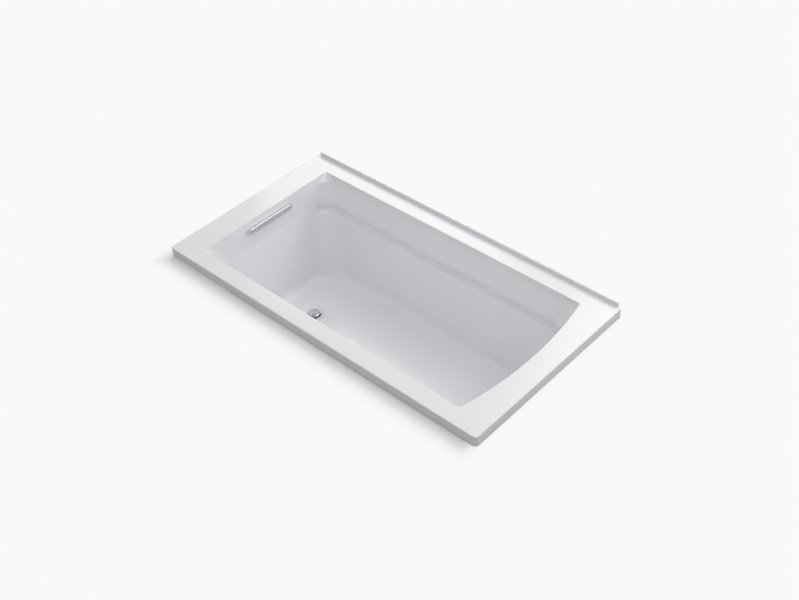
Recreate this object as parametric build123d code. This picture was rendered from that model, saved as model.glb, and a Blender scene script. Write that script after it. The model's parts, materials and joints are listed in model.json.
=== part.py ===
"""Acrylic drop-in bath with its support, push-down plug, drain and slotted overflow.

Millimetres. Origin on the subfloor under the middle of the rim, +X from the drain end to the
backrest end, +Y from the room side to the wall side, +Z up.
"""
from build123d import *
from dataclasses import dataclass
from math import atan, cos, degrees, radians, sin, tan
import os

# Rim
RIM_LENGTH = 1524.0
RIM_WIDTH = 813.0
RIM_CORNER = 14.0
RIM_EDGE = 5.0
SKIRT_DEPTH = 42.0
FRONT_RIM = 70.5
BACK_RIM = 78.5
DRAIN_RIM = 114.0
BACKREST_RIM = 91.0
UPSTAND_HEIGHT = 18.0
UPSTAND_THICKNESS = 8.0
UPSTAND_SETBACK = 2.0
UPSTAND_EDGE = 2.0

# Shell walls
SKIN = 5.0
BACKING = 4.0
INNER_EDGE = 3.0

# Basin: depths are below the rim top, insets are from the opening's edge
LIP_DEPTH = 29.0
LIP_INSET = 2.5
NOSE_DEPTH = 120.0
NOSE_INSET = 33.0
DROP_HEIGHT = 33.0
DROP_INSET = 1.0
SHELF_WIDTH = 5.0
SHELF_FALL = 1.5
BASIN_DEPTH = 440.0
FLOOR_SIDE_INSET = 85.0
FLOOR_DRAIN_INSET = 50.0
FLOOR_BACKREST_INSET = 171.0
RIM_BOW = 36.0
FLOOR_BOW = 22.0
OPENING_CORNER = 6.0
LIP_CORNER = 60.0
NOSE_CORNER = 75.0
FLOOR_CORNER = 150.0
FLOOR_FILLET = 48.0
NOSE_RADIUS = 60.0
NOSE_STEPS = 4
FLOOR_FALL = 7.0

# Support
PAD_THICKNESS = 5.0
PAD_RADIUS = 30.0
FOOT_HEIGHT = 30.0
FOOT_RADIUS = 32.0
BEARER_HEIGHT = 38.0
BEARER_WIDTH = 70.0
BEARER_LENGTH = 560.0
BEARER_PAST_DRAIN = 114.0
BEARER_FROM_BOARD_END = 60.0
BEARER_CHAMFER = 5.0
FOOT_INSET = 48.0
BOARD_THICKNESS = 12.0
BOARD_WIDTH = 380.0
BOARD_CORNER = 60.0
BOARD_PAST_DRAIN = 106.0
BOARD_FROM_FLOOR_END = 60.0
BOARD_DRAIN_HOLE = 62.0
BATTEN_WIDTH = 40.0
BATTEN_HEIGHT = 18.0
BATTEN_CHAMFER = 2.0
BATTEN_GAP = 5.0
BATTEN_END_GAP = 70.0
FOOT_PLATE = 5.0
FOOT_PLATE_LENGTH = 84.0
FOOT_PLATE_WIDTH = 60.0
FOOT_PLATE_CORNER = 15.0
FOOT_CORE = 12.0
FOOT_RIBS = 3
FOOT_RIB = 4.0

# Waste pipework, for 38.1 mm tube
TUBE_RADIUS = 19.05
TUBE_WALL = 1.3
SOCKET_CLEARANCE = 0.10
SOCKET_WALL = 3.4
SOCKET_DEPTH = 22.0
WATERWAY = 16.5
NUT_FLATS = 56.0
NUT_CLEARANCE = 0.2
NUT_HEIGHT = 16.0
NUT_LIP = 3.0
WASHER_HEIGHT = 3.5
TEE_ARM = 42.0
TEE_FOOT = 31.0
OUTLET_DEPTH = 13.0
SHOE_DROP = 52.0
SHOE_ARM = 52.0

# Drain
DRAIN_FROM_END = 214.0
DRAIN_HOLE = 26.0
SEAT_RADIUS = 37.0
SEAT_DEPTH = 3.0
SEAT_SLOPE = 5.0
FLANGE_RADIUS = 35.0
FLANGE_RISE = 3.5
FLANGE_EDGE = 1.8
BOWL_RADIUS = 29.0
BOWL_FOOT = 22.0
SHELF_RISE = 0.5
BARREL_RADIUS = 24.5
BARREL_BORE = 20.0
BARREL_LENGTH = 34.0
THREAD_CLEARANCE = 0.10
SPIDER_THICKNESS = 4.0
SPIDER_WEB = 3.0
SPIDER_ARMS = 4
SPIDER_TURN = 45.0
HUB_RADIUS = 7.5
HUB_HEIGHT = 8.0
GASKET_HEIGHT = 5.0
GASKET_RADIUS = 36.0
SHOE_FLANGE = 5.0
SHOE_WALL = 4.5
SHOE_SUMP = 1.5
SHOE_BASE = 6.0
SHOE_CAVITY = 20.5

# Push-down plug
CAP_RADIUS = 22.5
CAP_EDGE = 2.0
CAP_CROWN = 4.0
SEAL_HEIGHT = 2.5
SEAL_INNER = 15.0
SEAL_CLEARANCE = 0.3
SEAL_GRIP = 0.05
KEEPER_RADIUS = 16.5
KEEPER_HEIGHT = 1.2
PLUG_TRAVEL = 7.9
CLOSING_GAP = 0.1
STEM_RADIUS = 3.0
STEM_LENGTH = 32.0
STEM_CLEARANCE = 0.06
POST_RADIUS = 5.0
POST_LENGTH = 22.0
POST_COLLAR = 6.5
POST_COLLAR_HEIGHT = 3.0
SPRING_RADIUS = 4.7
SPRING_WIRE = 0.45
SPRING_TURNS = 4
SPRING_ROOM = 17.0

# Slotted overflow
COVER_LENGTH = 236.0
COVER_HEIGHT = 26.0
COVER_DEPTH = 13.0
COVER_WALL = 1.8
COVER_FROM_RIM = 32.0
COVER_EDGE = 2.0
INLET_LENGTH = 200.0
INLET_DEPTH = 7.0
PLATE_THICKNESS = 1.5
PLATE_CLEARANCE = 0.3
SLOT_LENGTH = 160.0
SLOT_HEIGHT = 12.0
SLOT_MARGIN = 2.0
SCREW_SPREAD = 92.0
SCREW_RADIUS = 2.4
SCREW_HEAD = 4.5
SCREW_HEAD_HEIGHT = 2.5
SCREW_CLEARANCE = 0.2
OVERFLOW_GASKET = 4.0
BOX_DEPTH = 54.0
BOX_HEIGHT = 32.0
BOX_LENGTH = 168.0
BOX_WALL = 3.5
BOX_EDGE = 3.0
BOX_AXIS = 30.0
EAR_LENGTH = 212.0
EAR_THICKNESS = 6.0
SPIGOT_LENGTH = 26.0

# Woodscrews
WOODSCREW_RADIUS = 2.5
WOODSCREW_HEAD = 5.0
WOODSCREW_HEAD_HEIGHT = 3.0
WOODSCREW_TIP = 5.0
WOODSCREW_POINT = 0.5
WOODSCREW_BITE = 24.0
WOODSCREW_CLEARANCE = 0.05
WOODSCREW_DRIVER_ROOM = 1.5
FOOT_SCREW_SPREAD = 33.0
BOARD_SCREW_SPREAD = 110.0
BOARD_SCREW_BITE = 8.0

# Places worked out from the sizes above
DRAIN_Z = PAD_THICKNESS + FOOT_HEIGHT + BEARER_HEIGHT + BOARD_THICKNESS + BACKING + SKIN
RIM_Z = DRAIN_Z + BASIN_DEPTH
LEFT = -RIM_LENGTH / 2 + DRAIN_RIM
RIGHT = RIM_LENGTH / 2 - BACKREST_RIM
CENTRE_Y = (FRONT_RIM - BACK_RIM) / 2
HALF_WIDTH = (RIM_WIDTH - FRONT_RIM - BACK_RIM) / 2
DRAIN_X = LEFT + DRAIN_FROM_END
WALL_X = LEFT + LIP_INSET
FALL_ANGLE = degrees(atan(FLOOR_FALL / (RIGHT - LEFT)))
COVER_Z = RIM_Z - COVER_FROM_RIM - COVER_HEIGHT / 2
SEAT_Z = DRAIN_Z - SEAT_DEPTH
SHELF_Z = SEAT_Z + SHELF_RISE
CAP_Z = SHELF_Z + CLOSING_GAP + SEAL_HEIGHT + PLUG_TRAVEL
KEEPER_Z = CAP_Z - SEAL_HEIGHT - KEEPER_HEIGHT
HUB_Z = KEEPER_Z - SPRING_ROOM - POST_COLLAR_HEIGHT
BACK_OF_WALL = WALL_X - SKIN - BACKING
BOX_X = BACK_OF_WALL - OVERFLOW_GASKET
STACK_X = BOX_X - BOX_AXIS
AXIS_Z = DRAIN_Z - SHOE_DROP
SOCKET_BORE = TUBE_RADIUS + SOCKET_CLEARANCE
SOCKET_RADIUS = SOCKET_BORE + SOCKET_WALL
GASKET_Z = SEAT_Z - SKIN - BACKING
BEARER_TOP = SKIN + BACKING + BOARD_THICKNESS
BOARD_LOW_X = DRAIN_X - BOARD_PAST_DRAIN
BOARD_HIGH_X = RIGHT - FLOOR_BACKREST_INSET - BOARD_FROM_FLOOR_END
FIRST_BEARER_X = DRAIN_X + BEARER_PAST_DRAIN
LAST_BEARER_X = BOARD_HIGH_X - BEARER_FROM_BOARD_END
BEARER_PLACES = (FIRST_BEARER_X, (FIRST_BEARER_X + LAST_BEARER_X) / 2, LAST_BEARER_X)
SOCKET_Z = COVER_Z - BOX_HEIGHT / 2 - SPIGOT_LENGTH
FLOOR_PLANE = Pos(DRAIN_X, CENTRE_Y, DRAIN_Z) * Rot(0, -FALL_ANGLE, 0)
LOW = (Align.CENTER, Align.CENTER, Align.MIN)
HIGH = (Align.CENTER, Align.CENTER, Align.MAX)


@dataclass(frozen=True)
class Level:
    """One horizontal outline of the basin's inner face."""

    depth: float
    side: float
    drain_end: float
    backrest_end: float
    bow: float
    corner: float
    sinks: bool


def between(depth, top, bottom, start, end):
    """Value at a depth on the straight line between two depths."""
    return start + (end - start) * (depth - top) / (bottom - top)


def level_at(depth, side, corner, sinks):
    """Outline at a depth, with the two end walls running straight from lip to floor."""
    drain_end = LIP_INSET
    if depth > NOSE_DEPTH:
        drain_end = between(depth, NOSE_DEPTH, BASIN_DEPTH, LIP_INSET, FLOOR_DRAIN_INSET)
    backrest_end = between(depth, LIP_DEPTH, BASIN_DEPTH, LIP_INSET, FLOOR_BACKREST_INSET)
    bow = between(depth, LIP_DEPTH, BASIN_DEPTH, RIM_BOW, FLOOR_BOW)
    return Level(depth, side, drain_end, backrest_end, bow, corner, sinks)


def nose_arc():
    """Depth and side inset of the outlines that round the arm-rest nose."""
    above = atan((NOSE_INSET - LIP_INSET) / (NOSE_DEPTH - LIP_DEPTH))
    below = atan(DROP_INSET / DROP_HEIGHT)
    reach = NOSE_RADIUS * tan((above - below) / 2)
    start_depth = NOSE_DEPTH - reach * cos(above)
    start_side = NOSE_INSET - reach * sin(above)
    points = []
    for i in range(NOSE_STEPS + 1):
        angle = above + (below - above) * i / NOSE_STEPS
        depth = start_depth + NOSE_RADIUS * (sin(above) - sin(angle))
        side = start_side + NOSE_RADIUS * (cos(angle) - cos(above))
        points.append((depth, side))
    return points


def basin_levels():
    """Outlines from the opening down to the floor."""
    drop_foot = NOSE_DEPTH + DROP_HEIGHT
    drop_side = NOSE_INSET + DROP_INSET
    shelf_side = drop_side + SHELF_WIDTH
    levels = [
        Level(0.0, 0.0, 0.0, 0.0, RIM_BOW, OPENING_CORNER, False),
        level_at(LIP_DEPTH, LIP_INSET, LIP_CORNER, False),
    ]
    for depth, side in nose_arc():
        levels.append(level_at(depth, side, NOSE_CORNER, False))
    levels.append(level_at(drop_foot, drop_side, NOSE_CORNER, True))
    levels.append(level_at(drop_foot + SHELF_FALL, shelf_side, NOSE_CORNER, True))
    levels.append(level_at(BASIN_DEPTH, FLOOR_SIDE_INSET, FLOOR_CORNER, True))
    return levels


def outline(level, grow):
    """Face of one basin outline, grown outwards by the given thickness."""
    left = LEFT + level.drain_end - grow
    middle = RIGHT - level.backrest_end + grow
    right = middle - level.bow
    half = HALF_WIDTH - level.side + grow
    edges = [
        Line((left, half), (right, half)),
        ThreePointArc((right, half), (middle, 0), (right, -half)),
        Line((right, -half), (left, -half)),
        Line((left, -half), (left, half)),
    ]
    face = make_face(edges)
    face = fillet(face.vertices(), radius=level.corner + grow)
    drop = level.depth + (grow if level.sinks else 0.0)
    place = Pos(0, CENTRE_Y, RIM_Z - drop)
    if level.depth == BASIN_DEPTH:
        place = FLOOR_PLANE * Pos(-DRAIN_X, 0, -grow)
    return place * face


def basin(grow):
    """Solid that fills the basin out to a face grown from its inner one."""
    faces = [outline(level, grow) for level in basin_levels()]
    solid = loft(faces, ruled=True)
    floor_limit = RIM_Z - BASIN_DEPTH - grow + FLOOR_FALL + 1.0
    floor_edges = solid.edges().filter_by(lambda e: e.bounding_box().max.Z < floor_limit)
    solid = fillet(floor_edges, radius=FLOOR_FILLET + grow)
    foot_radius = SEAT_RADIUS + grow
    dip = Cone(foot_radius, foot_radius + 2 * SEAT_SLOPE, 2 * SEAT_DEPTH, align=LOW)
    return solid + Pos(DRAIN_X, CENTRE_Y, SEAT_Z - grow) * dip


def rim_block(inset, top, bottom, edge):
    """Block with the rim's plan, drawn in by an inset, with a rounded top edge."""
    plan = RectangleRounded(RIM_LENGTH - 2 * inset, RIM_WIDTH - 2 * inset, RIM_CORNER - inset)
    block = Pos(0, 0, bottom) * extrude(plan, top - bottom)
    return fillet(block.faces().sort_by(Axis.Z)[-1].edges(), radius=edge)


def upstand():
    """Low upstand along the wall side of the rim, for the tiles to come down over."""
    length = RIM_LENGTH - 2 * RIM_CORNER
    y = RIM_WIDTH / 2 - UPSTAND_SETBACK - UPSTAND_THICKNESS / 2
    bar = Box(length, UPSTAND_THICKNESS, UPSTAND_HEIGHT + SKIN / 2)
    bar = Pos(0, y, RIM_Z + (UPSTAND_HEIGHT - SKIN / 2) / 2) * bar
    top = bar.faces().sort_by(Axis.Z)[-1]
    return fillet(top.edges(), radius=UPSTAND_EDGE)


def opening_prism():
    """Prism above the rim with the opening's plan, which clears the rim plate."""
    top = basin_levels()[0]
    return extrude(outline(top, 0.0), SKIN, dir=(0, 0, 1))


def slot_bar(length, height, thickness, x_high):
    """Round-ended bar lying along Y behind the cover, from x_high towards the drain end."""
    face = Plane.YZ * SlotOverall(length, height)
    return Pos(x_high - thickness, CENTRE_Y, COVER_Z) * extrude(face, thickness)


def screw_rods(radius, length, x_high):
    """Pair of rods on the overflow screws' axes, from x_high towards the drain end."""
    rod = Rot(0, 90, 0) * Cylinder(radius, length)
    x = x_high - length / 2
    return [Pos(x, CENTRE_Y + s * SCREW_SPREAD, COVER_Z) * rod for s in (-1, 1)]


def cut_services(solid):
    """Drain hole, overflow slot and overflow screw holes through the shell and its backing."""
    wall = SKIN + BACKING
    solid -= Pos(DRAIN_X, CENTRE_Y, SEAT_Z) * Cylinder(DRAIN_HOLE, 4 * wall)
    solid -= slot_bar(SLOT_LENGTH, SLOT_HEIGHT, 3 * wall, WALL_X + wall)
    for rod in screw_rods(SCREW_RADIUS + SCREW_CLEARANCE, 3 * wall, WALL_X + wall):
        solid -= rod
    return solid


def tub_shell():
    """Moulded acrylic shell: rim, skirt, upstand and stepped basin in one skin."""
    bottom = RIM_Z - SKIRT_DEPTH
    rim = rim_block(0.0, RIM_Z, bottom, RIM_EDGE)
    rim -= rim_block(SKIN, RIM_Z - SKIN, bottom, INNER_EDGE)
    solid = rim + basin(SKIN) + upstand()
    solid -= basin(0.0)
    solid -= opening_prism()
    return cut_services(solid)


def fibreglass_backing():
    """Sprayed fibreglass under the rim plate and all round the basin."""
    top = RIM_Z - SKIN
    solid = rim_block(SKIN, top, top - BACKING, INNER_EDGE) + basin(SKIN + BACKING)
    solid -= Pos(0, 0, top) * Box(RIM_LENGTH, RIM_WIDTH, BASIN_DEPTH, align=LOW)
    solid -= basin(SKIN)
    return cut_services(solid)


def foot_places():
    """Feet from the drain end to the backrest end, room side first."""
    reach = BEARER_LENGTH / 2 - FOOT_INSET
    return [(x, CENTRE_Y + s * reach) for x in BEARER_PLACES for s in (-1, 1)]


def bearer_underside(x, reach):
    """Lowest height of the bearers' underside within reach of x, with the fall of the floor."""
    fall = (x - reach - DRAIN_X) * tan(radians(FALL_ANGLE))
    return DRAIN_Z - (BEARER_TOP + BEARER_HEIGHT) / cos(radians(FALL_ANGLE)) + fall


def woodscrew(length):
    """Woodscrew pointing up from the underside of what it holds."""
    head = Cylinder(WOODSCREW_HEAD, WOODSCREW_HEAD_HEIGHT, align=HIGH)
    shank = Cylinder(WOODSCREW_RADIUS, length - WOODSCREW_TIP, align=LOW)
    tip = Cone(WOODSCREW_RADIUS, WOODSCREW_POINT, WOODSCREW_TIP, align=LOW)
    return head + shank + Pos(0, 0, length - WOODSCREW_TIP) * tip


def foot_screw_places():
    """Foot screws' seats, under the foot plates."""
    places = []
    for x, y in foot_places():
        z = bearer_underside(x, FOOT_PLATE_WIDTH / 2) - FOOT_PLATE
        for s in (-1, 1):
            places.append(Pos(x, y + s * FOOT_SCREW_SPREAD, z))
    return places


def board_screw_places():
    """Board screws' seats, under the bearers."""
    places = []
    for x in BEARER_PLACES:
        z = bearer_underside(x, WOODSCREW_HEAD)
        for s in (-1, 1):
            places.append(Pos(x, CENTRE_Y + s * BOARD_SCREW_SPREAD, z))
    return places


def cut_screws(solid):
    """Pilot holes for the woodscrews that reach a timber or a foot."""
    pilot = WOODSCREW_RADIUS + WOODSCREW_CLEARANCE
    foot_hole = Cylinder(pilot, FOOT_PLATE + WOODSCREW_BITE, align=LOW)
    board_hole = Cylinder(pilot, BEARER_HEIGHT + BOARD_SCREW_BITE, align=LOW)
    for place in foot_screw_places():
        solid -= place * foot_hole
    for place in board_screw_places():
        solid -= place * board_hole
    return solid


def base_board():
    """Board bonded under the floor, with a clear hole round the drain."""
    plan = RectangleRounded(BOARD_HIGH_X - BOARD_LOW_X, BOARD_WIDTH, BOARD_CORNER)
    middle = (BOARD_LOW_X + BOARD_HIGH_X) / 2
    board = FLOOR_PLANE * Pos(middle - DRAIN_X, 0, -BEARER_TOP) * extrude(plan, BOARD_THICKNESS)
    board -= Pos(DRAIN_X, CENTRE_Y, GASKET_Z) * Cylinder(BOARD_DRAIN_HOLE, 4 * BOARD_THICKNESS)
    return cut_screws(board)


def bearer(x):
    """Timber bearer across the board."""
    timber = Box(BEARER_WIDTH, BEARER_LENGTH, BEARER_HEIGHT, align=HIGH)
    timber = chamfer(timber.edges().filter_by(Axis.X), length=BEARER_CHAMFER)
    return cut_screws(FLOOR_PLANE * Pos(x - DRAIN_X, 0, -BEARER_TOP) * timber)


def foot(x, y):
    """Moulded foot: base disc, hollow core, ribs and the plate screwed to the bearer."""
    low = PAD_THICKNESS
    high = bearer_underside(x, FOOT_PLATE_WIDTH / 2) - FOOT_PLATE
    solid = Pos(0, 0, low) * Cylinder(FOOT_RADIUS, FOOT_PLATE, align=LOW)
    plate = RectangleRounded(FOOT_PLATE_WIDTH, FOOT_PLATE_LENGTH, FOOT_PLATE_CORNER)
    solid += Pos(0, 0, high) * extrude(plate, FOOT_PLATE)
    solid += Pos(0, 0, low) * Cylinder(FOOT_CORE, high - low, align=LOW)
    rib = Box(2 * PAD_RADIUS, FOOT_RIB, high - low, align=LOW)
    for i in range(FOOT_RIBS):
        solid += Pos(0, 0, low) * Rot(0, 0, 90 + i * 180 / FOOT_RIBS) * rib
    room = Cylinder(WOODSCREW_HEAD + WOODSCREW_DRIVER_ROOM, high - low - FOOT_PLATE, align=HIGH)
    for s in (-1, 1):
        solid -= Pos(0, s * FOOT_SCREW_SPREAD, high) * room
    return cut_screws(Pos(x, y, 0) * solid)


def foot_pads():
    """Rubber pads under the feet."""
    pad = Cylinder(PAD_RADIUS, PAD_THICKNESS, align=LOW)
    return Compound(children=[Pos(x, y, 0) * pad for x, y in foot_places()])


def foot_screws():
    """Woodscrews through the foot plates."""
    screw = woodscrew(FOOT_PLATE + WOODSCREW_BITE)
    return Compound(children=[place * screw for place in foot_screw_places()])


def bearer_screws():
    """Long woodscrews through the bearers into the board."""
    screw = woodscrew(BEARER_HEIGHT + BOARD_SCREW_BITE)
    return Compound(children=[place * screw for place in board_screw_places()])


def batten(length, x, y, turn):
    """Stiffening batten bonded under the rim."""
    bar = Box(length, BATTEN_WIDTH, BATTEN_HEIGHT, align=HIGH)
    bar = chamfer(bar.faces().sort_by(Axis.Z)[0].edges(), length=BATTEN_CHAMFER)
    return Pos(x, y, RIM_Z - SKIN - BACKING) * Rot(0, 0, turn) * bar


def battens():
    """The four battens by name."""
    inset = SKIN + BATTEN_GAP + BATTEN_WIDTH / 2
    long_side = RIM_LENGTH - 2 * BATTEN_END_GAP
    short_side = RIM_WIDTH - 2 * BATTEN_END_GAP
    x = RIM_LENGTH / 2 - inset
    y = RIM_WIDTH / 2 - inset
    return {
        "batten_front": batten(long_side, 0, -y, 0),
        "batten_back": batten(long_side, 0, y, 0),
        "batten_drain_end": batten(short_side, -x, 0, 90),
        "batten_backrest_end": batten(short_side, x, 0, 90),
    }


def pipe(radius, low, high):
    """Rod along +Z between two heights, for building and boring pipework."""
    return Pos(0, 0, low) * Cylinder(radius, high - low, align=LOW)


def slip_nut():
    """Hexagon slip nut, with the socket's mouth at the origin and +Z leaving it."""
    high = WASHER_HEIGHT + NUT_LIP
    low = high - NUT_HEIGHT
    hexagon = RegularPolygon(NUT_FLATS / 2, 6, major_radius=False, rotation=30)
    nut = Pos(0, 0, low) * extrude(hexagon, NUT_HEIGHT)
    corner = NUT_FLATS / 2 / cos(radians(30))
    blank = pipe(corner, low, high)
    blank = chamfer(blank.edges().sort_by(Axis.Z)[-1], length=NUT_LIP)
    nut &= blank
    nut -= pipe(SOCKET_RADIUS + THREAD_CLEARANCE, low, WASHER_HEIGHT)
    return nut - pipe(TUBE_RADIUS + NUT_CLEARANCE, low, high)


def slip_washer():
    """Rubber ring between a socket's mouth and its nut."""
    ring = pipe(SOCKET_RADIUS, 0, WASHER_HEIGHT)
    return ring - pipe(SOCKET_BORE, 0, WASHER_HEIGHT)


def slip_places():
    """Mouths of the four slip joints, each with +Z along the leaving tube."""
    return {
        "overflow": Pos(STACK_X, CENTRE_Y, SOCKET_Z) * Rot(180, 0, 0),
        "tee_top": Pos(STACK_X, CENTRE_Y, AXIS_Z + TEE_ARM),
        "tee_side": Pos(STACK_X + TEE_ARM, CENTRE_Y, AXIS_Z) * Rot(0, 90, 0),
        "shoe": Pos(DRAIN_X - SHOE_ARM, CENTRE_Y, AXIS_Z) * Rot(0, -90, 0),
    }


def bore_socket(solid, place, reach):
    """Socket for a tube, with the waterway running on behind it."""
    solid -= place * pipe(SOCKET_BORE, -SOCKET_DEPTH, 0)
    return solid - place * pipe(WATERWAY, -reach, -SOCKET_DEPTH)


def waste_tee():
    """Tee that joins the overflow and the waste, open below for the trap."""
    places = slip_places()
    upright = pipe(SOCKET_RADIUS, AXIS_Z - TEE_FOOT, AXIS_Z + TEE_ARM)
    solid = Pos(STACK_X, CENTRE_Y, 0) * upright
    solid += places["tee_side"] * pipe(SOCKET_RADIUS, -TEE_ARM, 0)
    solid = bore_socket(solid, places["tee_top"], TEE_ARM + TEE_FOOT)
    solid = bore_socket(solid, places["tee_side"], TEE_ARM)
    outlet = pipe(SOCKET_BORE, AXIS_Z - TEE_FOOT, AXIS_Z - TEE_FOOT + OUTLET_DEPTH)
    return solid - Pos(STACK_X, CENTRE_Y, 0) * outlet


def drain_shoe():
    """Elbow under the drain, which the drain body screws into."""
    drain = Pos(DRAIN_X, CENTRE_Y, 0)
    place = slip_places()["shoe"]
    top = GASKET_Z - GASKET_HEIGHT
    bore = BARREL_RADIUS + THREAD_CLEARANCE
    low = AXIS_Z - WATERWAY - SHOE_SUMP
    cup = pipe(bore + SHOE_WALL, low - SHOE_BASE, top)
    cup = fillet(cup.edges().sort_by(Axis.Z)[0], radius=SHOE_WALL)
    solid = drain * (cup + pipe(GASKET_RADIUS, top - SHOE_FLANGE, top))
    solid += place * pipe(SOCKET_RADIUS, -SHOE_ARM, 0)
    solid -= drain * pipe(SHOE_CAVITY, low, top)
    solid -= drain * pipe(bore, SEAT_Z - BARREL_LENGTH, top)
    return bore_socket(solid, place, SHOE_ARM)


def drain_gasket():
    """Rubber ring between the shoe and the backing."""
    ring = pipe(GASKET_RADIUS, GASKET_Z - GASKET_HEIGHT, GASKET_Z)
    ring -= pipe(DRAIN_HOLE, GASKET_Z - GASKET_HEIGHT, GASKET_Z)
    return Pos(DRAIN_X, CENTRE_Y, 0) * ring


def drain_flange():
    """Drain body: rolled flange, bowl, threaded barrel, spider and hub."""
    top = SEAT_Z + FLANGE_RISE
    low = SEAT_Z - BARREL_LENGTH
    roll = FLANGE_RADIUS - FLANGE_EDGE
    edges = [
        Polyline(
            (BARREL_BORE, SHELF_Z),
            (BARREL_BORE, low),
            (BARREL_RADIUS, low),
            (BARREL_RADIUS, SEAT_Z),
            (FLANGE_RADIUS, SEAT_Z),
            (FLANGE_RADIUS, top - FLANGE_EDGE),
        ),
        RadiusArc((FLANGE_RADIUS, top - FLANGE_EDGE), (roll, top), -FLANGE_EDGE),
        Line((roll, top), (BOWL_RADIUS, top)),
        RadiusArc((BOWL_RADIUS, top), (BOWL_FOOT, SHELF_Z), BOWL_RADIUS),
        Line((BOWL_FOOT, SHELF_Z), (BARREL_BORE, SHELF_Z)),
    ]
    solid = revolve(Plane.XZ * make_face(edges), Axis.Z)
    solid += pipe(HUB_RADIUS, HUB_Z - HUB_HEIGHT, HUB_Z)
    arm = Box(BARREL_BORE, SPIDER_WEB, SPIDER_THICKNESS, align=(Align.MIN, Align.CENTER, Align.MAX))
    for i in range(SPIDER_ARMS):
        solid += Pos(0, 0, HUB_Z) * Rot(0, 0, SPIDER_TURN + i * 360 / SPIDER_ARMS) * arm
    solid -= pipe(POST_RADIUS + THREAD_CLEARANCE, HUB_Z - HUB_HEIGHT, HUB_Z)
    return Pos(DRAIN_X, CENTRE_Y, 0) * solid


def plug_post():
    """Latch barrel screwed into the hub, bored for the plug's stem."""
    solid = pipe(POST_RADIUS, HUB_Z - POST_LENGTH, HUB_Z)
    solid += pipe(POST_COLLAR, HUB_Z, HUB_Z + POST_COLLAR_HEIGHT)
    solid -= pipe(STEM_RADIUS + STEM_CLEARANCE, HUB_Z - POST_LENGTH, HUB_Z + POST_COLLAR_HEIGHT)
    return Pos(DRAIN_X, CENTRE_Y, 0) * solid


def plug_spring():
    """Compression spring between the latch barrel and the plug."""
    rise = SPRING_ROOM - 2 * SPRING_WIRE
    path = Helix(rise / SPRING_TURNS, rise, SPRING_RADIUS)
    section = Plane(origin=path @ 0, z_dir=path % 0) * Circle(SPRING_WIRE)
    wire = sweep(section, path=path)
    return Pos(DRAIN_X, CENTRE_Y, HUB_Z + POST_COLLAR_HEIGHT + SPRING_WIRE) * wire


def plug_cap():
    """Domed plug, standing open, with its seal keeper and stem."""
    neck = SEAL_INNER - SEAL_GRIP
    rim = CAP_Z + CAP_EDGE
    crown = rim + CAP_CROWN
    sphere = (CAP_RADIUS**2 + CAP_CROWN**2) / (2 * CAP_CROWN)
    edges = [
        Polyline(
            (0, crown),
            (0, KEEPER_Z - STEM_LENGTH),
            (STEM_RADIUS, KEEPER_Z - STEM_LENGTH),
            (STEM_RADIUS, KEEPER_Z),
            (KEEPER_RADIUS, KEEPER_Z),
            (KEEPER_RADIUS, KEEPER_Z + KEEPER_HEIGHT),
            (neck, KEEPER_Z + KEEPER_HEIGHT),
            (neck, CAP_Z),
            (CAP_RADIUS, CAP_Z),
            (CAP_RADIUS, rim),
        ),
        RadiusArc((CAP_RADIUS, rim), (0, crown), -sphere),
    ]
    return Pos(DRAIN_X, CENTRE_Y, 0) * revolve(Plane.XZ * make_face(edges), Axis.Z)


def plug_seal():
    """Rubber ring gripped under the plug."""
    ring = pipe(BOWL_FOOT - SEAL_CLEARANCE, CAP_Z - SEAL_HEIGHT, CAP_Z)
    ring -= pipe(SEAL_INNER, CAP_Z - SEAL_HEIGHT, CAP_Z)
    return Pos(DRAIN_X, CENTRE_Y, 0) * ring


def overflow_cover():
    """Hood over the overflow, open at the back and along its underside."""
    front = WALL_X + COVER_DEPTH
    hood = slot_bar(COVER_LENGTH, COVER_HEIGHT, COVER_DEPTH, front)
    hood = fillet(hood.faces().sort_by(Axis.X)[-1].edges(), radius=COVER_EDGE)
    room_length = COVER_LENGTH - 2 * COVER_WALL
    room_height = COVER_HEIGHT - 2 * COVER_WALL
    hood -= slot_bar(room_length, room_height, COVER_DEPTH - COVER_WALL, front - COVER_WALL)
    inlet = Box(INLET_DEPTH, INLET_LENGTH, COVER_HEIGHT / 2)
    x = WALL_X + INLET_DEPTH / 2
    return hood - Pos(x, CENTRE_Y, COVER_Z - COVER_HEIGHT / 2) * inlet


def overflow_plate():
    """Clamping plate inside the hood."""
    shrink = 2 * (COVER_WALL + PLATE_CLEARANCE)
    x = WALL_X + PLATE_THICKNESS
    plate = slot_bar(COVER_LENGTH - shrink, COVER_HEIGHT - shrink, PLATE_THICKNESS, x)
    high = x + PLATE_THICKNESS
    slot_length = SLOT_LENGTH - SLOT_MARGIN
    slot_height = SLOT_HEIGHT - SLOT_MARGIN
    plate -= slot_bar(slot_length, slot_height, 3 * PLATE_THICKNESS, high)
    for rod in screw_rods(SCREW_RADIUS + SCREW_CLEARANCE, 3 * PLATE_THICKNESS, high):
        plate -= rod
    return plate


def overflow_screws():
    """The two screws that clamp plate, wall, gasket and chamber together."""
    seat = WALL_X + PLATE_THICKNESS
    length = seat - BOX_X + EAR_THICKNESS
    heads = screw_rods(SCREW_HEAD, SCREW_HEAD_HEIGHT, seat + SCREW_HEAD_HEIGHT)
    shanks = screw_rods(SCREW_RADIUS, length, seat)
    return Compound(children=[head + shank for head, shank in zip(heads, shanks)])


def overflow_gasket():
    """Rubber gasket between the backing and the chamber."""
    gasket = slot_bar(EAR_LENGTH, BOX_HEIGHT, OVERFLOW_GASKET, BACK_OF_WALL)
    room = 3 * OVERFLOW_GASKET
    high = BACK_OF_WALL + OVERFLOW_GASKET
    gasket -= slot_bar(SLOT_LENGTH, SLOT_HEIGHT, room, high)
    for rod in screw_rods(SCREW_RADIUS + SCREW_CLEARANCE, room, high):
        gasket -= rod
    return gasket


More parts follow.
